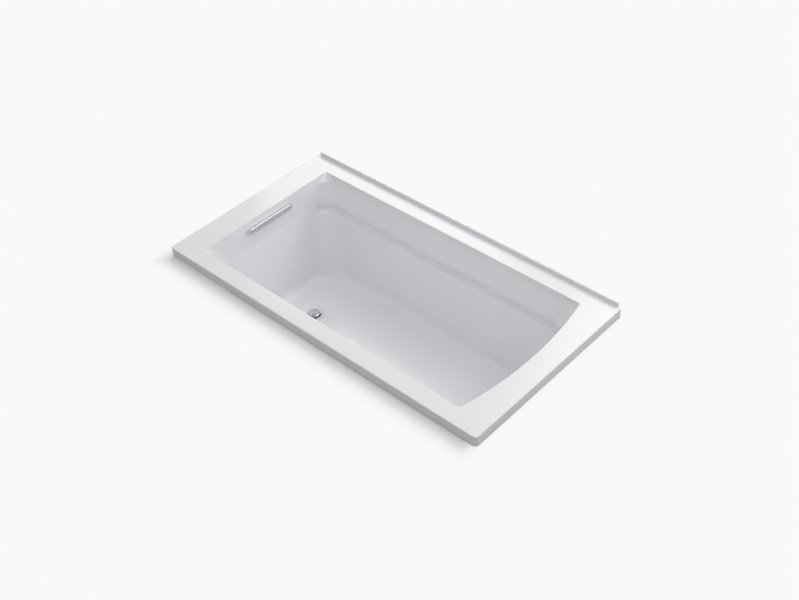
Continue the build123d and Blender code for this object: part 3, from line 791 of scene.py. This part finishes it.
@dataclass
class Basin:
    """The moulded shell and its reinforcement, skinned level by level."""

    steps: PlanSteps = field(default_factory=PlanSteps)
    length: float = 1524.0
    width: float = 813.0
    corner: float = 14.0
    edge: float = 5.0
    skirt: float = 42.0
    left: float = -648.0
    right: float = 671.0
    front: float = -336.0
    back: float = 328.0
    fall: float = 7.0 / 1319.0
    depth: float = 440.0
    lip_depth: float = 29.0
    lip_inset: float = 2.5
    end_break: float = 120.0
    drain_inset: float = 50.0
    backrest_inset: float = 171.0
    rim_bow: float = 36.0
    floor_bow: float = 22.0
    seat_depth: float = 3.0
    seat_radius: float = 37.0
    seat_edge: float = 42.0
    drain_hole: float = 26.0
    opening_corner: float = 6.0
    strip_setback: float = 14.0
    strip_height: float = 18.0
    strip_width: float = 8.0
    strip_root: float = 2.5
    strip_edge: float = 2.0
    profile: tuple[WallCorner, ...] = (
        WallCorner(29.0, 2.5, 60.0, 14.0, 5),
        WallCorner(107.0, 28.6, 75.0, 10.0, 4),
        WallCorner(125.0, 29.5, 75.0, 3.0, 4),
        WallCorner(140.5, 20.0, 75.0, 7.0, 5),
        WallCorner(159.5, 25.0, 75.0, 4.0, 4),
        WallCorner(163.5, 36.0, 75.0, 5.0, 4),
        WallCorner(440.0, 85.0, 150.0, 48.0, 14),
    )

    def sinking(self, index: int) -> float:
        """Share of a thickness by which a corner of the wall lies lower on its outer face.

        Args:
            index: the corner's place in the profile.

        Returns:
            The share, 1 at the floor and 0 at the lip.
        """
        if index == 0:
            return 0.0
        if index == len(self.profile) - 1:
            return 1.0
        sides = []
        for start, end in zip(self.profile[index - 1 : index + 1], self.profile[index : index + 2]):
            run = Vector((end.side - start.side, start.depth - end.depth)).normalized()
            sides.append(run)
        return (sides[0].x + sides[1].x) / (1.0 + sides[0].dot(sides[1]))

    def level(self, depth: float, side: float, corner: float, grow: float, sinks: float) -> Outline:
        """Outline of the wall at one depth.

        Args:
            depth: depth below the rim.
            side: inset of the two long sides from the opening.
            corner: corner radius of the inner face.
            grow: thickness added outside the inner face.
            sinks: share of the added thickness that lowers the level.

        Returns:
            The outline.
        """
        low = max(depth - self.end_break, 0.0) / (self.depth - self.end_break)
        far = max(depth - self.lip_depth, 0.0) / (self.depth - self.lip_depth)
        lip = self.lip_inset if depth > 0.0 else 0.0
        left = lip + (self.drain_inset - self.lip_inset) * low
        right = lip + (self.backrest_inset - self.lip_inset) * far
        bow = self.rim_bow + (self.floor_bow - self.rim_bow) * far
        fall = self.fall if depth == self.depth else 0.0
        return Outline(
            RIM_Z - depth - grow * sinks,
            self.left + left - grow,
            self.right - right + grow,
            self.front + side - grow,
            self.back - side + grow,
            bow,
            corner + grow,
            fall,
        )

    def opening(self, thick: float, grow: float) -> list[Vector]:
        """Ring of the opening's edge, under a layer of the rim.

        Args:
            thick: depth of the ring below the rim.
            grow: thickness added outside the inner face.

        Returns:
            The ring's points.
        """
        return self.level(thick, 0.0, self.opening_corner, grow, 0.0).ring(self.steps)

    def wall_rings(self, grow: float) -> tuple[list[list[Vector]], list[float], list[int]]:
        """Corner rings of the basin from the opening to the drain hole.

        Args:
            grow: thickness added outside the inner face.

        Returns:
            The rings, the rounding at each, and the steps of each rounding.
        """
        rings = [self.opening(0.0, grow)]
        radii = [3.0 - min(grow, 2.0)]
        steps = [5]
        for index, part in enumerate(self.profile):
            level = self.level(part.depth, part.side, part.corner, grow, self.sinking(index))
            rings.append(level.ring(self.steps))
            radii.append(part.rounding + grow)
            steps.append(part.steps)
        floor = rings[-1]
        seat_z = DRAIN_Z - self.seat_depth - grow
        for radius, z, rounding, count in (
            (self.seat_edge + grow, DRAIN_Z - grow, 5.0, 4),
            (self.seat_radius + grow, seat_z, 3.0, 3),
            (self.drain_hole, seat_z, 0.0, 1),
        ):
            rings.append(circle_ring(floor, radius, z))
            radii.append(rounding)
            steps.append(count)
        return rings, radii, steps

    def rim_ring(self, z: float, inset: float) -> list[Vector]:
        """Ring with the rim's plan.

        Args:
            z: height.
            inset: distance inside the rim's outer face.

        Returns:
            The ring's points.
        """
        x, y = self.length / 2 - inset, self.width / 2 - inset
        corner = self.corner - min(inset, self.corner - 2.0)
        return Outline(z, -x, x, -y, y, 0.0, corner).ring(self.steps)

    def skin(
        self, name: str, rings: list[list[Vector]], radii: list[float], steps: list[int]
    ) -> bpy.types.Object:
        """Round every column of a closed stack of corner rings and skin it.

        Args:
            name: the new object's name.
            rings: the corner rings.
            radii: rounding at each ring.
            steps: steps of each rounding.

        Returns:
            The new object.
        """
        columns = [rounded_column(list(run), radii, steps) for run in zip(*rings)]
        return rings_to_object(name, [list(ring) for ring in zip(*columns)], closed=True)

    def shell(self) -> bpy.types.Object:
        """The acrylic shell: skirt, rim, basin and their back faces.

        Returns:
            The shell.
        """
        inner, inner_radii, inner_steps = self.wall_rings(0.0)
        outer, outer_radii, outer_steps = self.wall_rings(SKIN)
        outer[0] = self.opening(SKIN, SKIN)
        low = RIM_Z - self.skirt
        rings = [self.rim_ring(low, 0.0), self.rim_ring(RIM_Z, 0.0)] + inner
        radii = [0.0, self.edge] + inner_radii
        steps = [1, 6] + inner_steps
        rings += outer[::-1] + [self.rim_ring(RIM_Z - SKIN, SKIN), self.rim_ring(low, SKIN)]
        radii += outer_radii[::-1] + [3.0, 0.0]
        steps += outer_steps[::-1] + [4, 1]
        return self.skin("tub_shell_skin", rings, radii, steps)

    def reinforcement(self) -> bpy.types.Object:
        """The fibreglass layer under the rim and round the basin.

        Returns:
            The layer.
        """
        inner, inner_radii, inner_steps = self.wall_rings(SKIN)
        outer, outer_radii, outer_steps = self.wall_rings(SKIN + BACKING)
        top = RIM_Z - SKIN
        inner[0] = self.opening(SKIN, SKIN)
        outer[0] = self.opening(SKIN + BACKING, SKIN + BACKING)
        rings = [self.rim_ring(top - BACKING, SKIN), self.rim_ring(top, SKIN)] + inner + outer[::-1]
        radii = [0.0, 3.0] + inner_radii + outer_radii[::-1]
        steps = [1, 4] + inner_steps + outer_steps[::-1]
        radii[-1], steps[-1] = 0.0, 1
        return self.skin("fibreglass_layer", rings, radii, steps)

    def upstand(self) -> bpy.types.Object:
        """The low strip along the wall side of the rim.

        Returns:
            The strip.
        """
        bm = bmesh.new()
        bmesh.ops.create_cube(bm, size=1.0)
        length, tall = self.length - 2 * self.strip_setback, self.strip_height + self.strip_root
        bmesh.ops.scale(bm, vec=Vector((length, self.strip_width, tall)) * MM, verts=bm.verts)
        y = self.width / 2 - self.strip_edge - self.strip_width / 2
        middle = Vector((0.0, y, RIM_Z + self.strip_height - tall / 2))
        bmesh.ops.translate(bm, vec=middle * MM, verts=bm.verts)
        top = [edge for edge in bm.edges if all(v.co.z > RIM_Z * MM for v in edge.verts)]
        ends = [edge for edge in bm.edges if abs(edge.verts[0].co.z - edge.verts[1].co.z) > 0.01]
        bmesh.ops.bevel(
            bm,
            geom=top + ends,
            offset=self.strip_edge * MM,
            segments=4,
            profile=0.5,
            affect="EDGES",
            material=-1,
        )
        return mesh_object("tub_upstand", bm)

    def build(self, finishes: Finishes) -> None:
        """Make, dress and place the pieces.

        Args:
            finishes: the materials.
        """
        acrylic = finishes.by_slot[Slot.ACRYLIC]
        settle(self.shell(), acrylic, "bath", Slot.ACRYLIC, "tub_shell")
        settle(self.upstand(), acrylic, "bath", Slot.ACRYLIC)
        layer = self.reinforcement()
        glass = finishes.by_slot[Slot.FIBREGLASS]
        settle(layer, glass, "bath", Slot.FIBREGLASS, "fibreglass_backing")


@dataclass
class HiddenWork:
    """Support and pipework that keep their CAD shapes and get their finishes."""

    along_x: tuple[str, ...] = ("batten_front", "batten_back")

    def build(self, finishes: Finishes) -> None:
        """Dress every CAD node that stays.

        Args:
            finishes: the materials.
        """
        slots = {part["node"]: part["material_slot"] for part in frame["record"]["subparts"]}
        for name, thing in frame["nodes"].items():
            material = finishes.by_slot[Slot(slots[name])]
            if name in self.along_x:
                material = finishes.timber_along_x
            thing.data.materials.clear()
            thing.data.materials.append(material)


@dataclass
class Studio:
    """Floor, deck, lamps and camera."""

    white: float = 0.947
    reach_front: float = 820.0
    reach_back: float = 8.0
    reach_left: float = 70.0
    reach_right: float = 820.0
    deck_albedo: float = 0.88
    bounce_albedo: float = 0.45
    gap: float = 0.6
    shade_front: float = 100.0
    shade_left: float = 65.0
    shade_far: float = 30.0
    floor_low: tuple[float, float] = (-0.78, -0.44)
    floor_high: tuple[float, float] = (0.78, 0.60)
    floor_fade: float = 0.12
    lamp_aim: float = 0.45
    lamp_away: float = 3.4
    lamp_size: float = 1.6
    world_strength: float = 0.405
    sensor: float = 36.0
    focal_pixels: float = 1185.96
    image_width: float = 799.0
    lamps: tuple[tuple[str, float, float, float], ...] = (
        ("window right", 45.0, 30.0, 28.6),
        ("window left", 135.0, 30.0, 17.0),
        ("window high", 90.0, 55.0, 20.5),
        ("side", 0.0, 55.0, 11.5),
        ("ceiling", 0.0, 90.0, 15.4),
        ("front fill", 270.0, 30.0, 9.0),
    )

    def paper(
        self, name: str, lit_low: Vector, lit_high: Vector, fade: float
    ) -> bpy.types.Material:
        """White sheet that takes shadows near the object and fades into the background.

        Args:
            name: the material's name.
            lit_low: lowest corner of the part that takes shadows, in metres.
            lit_high: highest corner of that part, in metres.
            fade: width of the change in metres.

        Returns:
            The material.
        """
        material = bpy.data.materials.new(name)
        material.use_nodes = True
        nodes = NodeTree(material.node_tree)
        shader = material.node_tree.nodes["Principled BSDF"]
        shader.inputs["Roughness"].default_value = 0.9
        shader.inputs["Specular IOR Level"].default_value = 0.0
        place = nodes.add("ShaderNodeTexCoord")
        apart = nodes.add("ShaderNodeSeparateXYZ")
        nodes.join(place.outputs["Object"], apart.inputs[0])
        mask = None
        for axis in ("X", "Y"):
            index = "XY".index(axis)
            middle = (lit_low[index] + lit_high[index]) / 2
            half = (lit_high[index] - lit_low[index]) / 2
            shift = nodes.add("ShaderNodeMath", operation="SUBTRACT")
            shift.inputs[1].default_value = middle
            nodes.join(apart.outputs[axis], shift.inputs[0])
            size = nodes.add("ShaderNodeMath", operation="ABSOLUTE")
            nodes.join(shift.outputs[0], size.inputs[0])
            ramp = nodes.add("ShaderNodeMapRange", interpolation_type="SMOOTHSTEP")
            ramp.inputs["From Min"].default_value = half - fade
            ramp.inputs["From Max"].default_value = half
            nodes.join(size.outputs[0], ramp.inputs["Value"])
            if mask is None:
                mask = ramp.outputs[0]
            else:
                most = nodes.add("ShaderNodeMath", operation="MAXIMUM")
                nodes.join(mask, most.inputs[0])
                nodes.join(ramp.outputs[0], most.inputs[1])
                mask = most.outputs[0]
        path = nodes.add("ShaderNodeLightPath")
        seen = nodes.add("ShaderNodeMath", operation="MULTIPLY")
        nodes.join(mask, seen.inputs[0])
        nodes.join(path.outputs["Is Camera Ray"], seen.inputs[1])
        grey, pale = (self.bounce_albedo,) * 3, (self.deck_albedo,) * 3
        sheet = nodes.blend(path.outputs["Is Camera Ray"], grey, pale)
        nodes.join(sheet, shader.inputs["Base Color"])
        glow = nodes.add("ShaderNodeEmission")
        glow.inputs["Color"].default_value = (self.white,) * 3 + (1.0,)
        mix = nodes.add("ShaderNodeMixShader")
        nodes.join(seen.outputs[0], mix.inputs[0])
        nodes.join(shader.outputs[0], mix.inputs[1])
        nodes.join(glow.outputs[0], mix.inputs[2])
        out = material.node_tree.nodes["Material Output"]
        nodes.join(mix.outputs[0], out.inputs["Surface"])
        return material

    def deck(self) -> None:
        """Thin white sheet round the skirt's lower edge, with the bath's cut-out."""
        basin = Basin()
        steps = basin.steps
        x, y = basin.length / 2 + self.gap, basin.width / 2 + self.gap
        hole = Outline(DECK_Z, -x, x, -y, y, 0.0, basin.corner + self.gap).ring(steps)
        wide = Outline(
            DECK_Z,
            -x - self.reach_left,
            x + self.reach_right,
            -y - self.reach_front,
            y + self.reach_back,
            0.0,
            20.0,
        ).ring(steps)
        thing = rings_to_object("stage_deck", [hole, wide], closed=False)
        low = Vector((-x - self.shade_left, -y - self.shade_front, 0.0)) * MM
        high = Vector((x + self.shade_far, y + self.shade_far, 0.0)) * MM
        thing.data.materials.append(self.paper("deck paper", low, high, self.shade_front * MM))
        thing.visible_shadow = False

    def floor(self) -> None:
        """Large white floor under the feet."""
        bm = bmesh.new()
        bmesh.ops.create_grid(bm, x_segments=1, y_segments=1, size=30.0)
        thing = mesh_object("stage_floor", bm)
        low, high = Vector((*self.floor_low, 0.0)), Vector((*self.floor_high, 0.0))
        thing.data.materials.append(self.paper("floor paper", low, high, self.floor_fade))

    def lamp(self, name: str, turn: float, height: float, power: float) -> None:
        """Square soft lamp that faces the bath.

        Args:
            name: the lamp's name.
            turn: direction in degrees, from +X towards +Y.
            height: angle above level in degrees.
            power: power in watts.
        """
        data = bpy.data.lights.new(name, "AREA")
        data.shape = "SQUARE"
        data.size = self.lamp_size
        data.energy = power
        thing = bpy.data.objects.new(name, data)
        around, above = math.radians(turn), math.radians(height)
        aim = Vector((0.0, 0.0, self.lamp_aim))
        flat = self.lamp_away * math.cos(above)
        rise = self.lamp_away * math.sin(above)
        thing.location = aim + Vector((flat * math.cos(around), flat * math.sin(around), rise))
        thing.rotation_euler = (aim - thing.location).to_track_quat("-Z", "Y").to_euler()
        bpy.context.scene.collection.objects.link(thing)

    def world(self, strength: float) -> None:
        """Even light all round, seen as white.

        Args:
            strength: strength of the light on the object.
        """
        world = bpy.data.worlds.new("studio")
        bpy.context.scene.world = world
        world.use_nodes = True
        nodes = NodeTree(world.node_tree)
        world.node_tree.nodes.clear()
        path = nodes.add("ShaderNodeLightPath")
        lit = nodes.add("ShaderNodeBackground")
        lit.inputs["Color"].default_value = (1.0, 1.0, 1.0, 1.0)
        lit.inputs["Strength"].default_value = strength
        shown = nodes.add("ShaderNodeBackground")
        shown.inputs["Color"].default_value = (self.white,) * 3 + (1.0,)
        mix = nodes.add("ShaderNodeMixShader")
        out = nodes.add("ShaderNodeOutputWorld")
        nodes.join(path.outputs["Is Camera Ray"], mix.inputs[0])
        nodes.join(lit.outputs[0], mix.inputs[1])
        nodes.join(shown.outputs[0], mix.inputs[2])
        nodes.join(mix.outputs[0], out.inputs["Surface"])

    def camera(self) -> None:
        """Camera at the photograph's angle."""
        data = bpy.data.cameras.new("camera")
        data.sensor_width = self.sensor
        data.lens = self.focal_pixels / self.image_width * self.sensor
        data.clip_end = 100.0
        thing = bpy.data.objects.new("camera", data)
        right = Vector((0.73821, 0.67327, -0.04186))
        up = Vector((-0.42282, 0.51017, 0.74897))
        back = right.cross(up).normalized()
        up = back.cross(right).normalized()
        turn = Matrix((right, up, back)).transposed().to_4x4()
        spot = Vector((2374.7, -2359.5, 2829.4 + RIM_Z)) * MM
        thing.matrix_world = Matrix.Translation(spot) @ turn
        bpy.context.scene.collection.objects.link(thing)
        bpy.context.scene.camera = thing

    def build(self) -> None:
        """Set up the stage, the lamps, the world and the camera."""
        self.deck()
        self.floor()
        self.world(self.world_strength)
        for name, turn, height, power in self.lamps:
            self.lamp(name, turn, height, power)
        self.camera()
        bpy.context.scene.view_settings.view_transform = "Standard"


def clear_start() -> None:
    """Remove the cube, lamp and camera that a new scene starts with."""
    for name in ("Cube", "Light", "Camera"):
        thing = bpy.data.objects.get(name)
        if thing is not None:
            bpy.data.objects.remove(thing)


def main() -> None:
    """Build the object and its studio."""
    logging.basicConfig(level=logging.INFO, format="%(name)s: %(message)s")
    clear_start()
    finishes = Finishes()
    HiddenWork().build(finishes)
    Basin().build(finishes)
    Studio().build()
    bpy.context.view_layer.update()


if __name__ == "__main__":
    main()
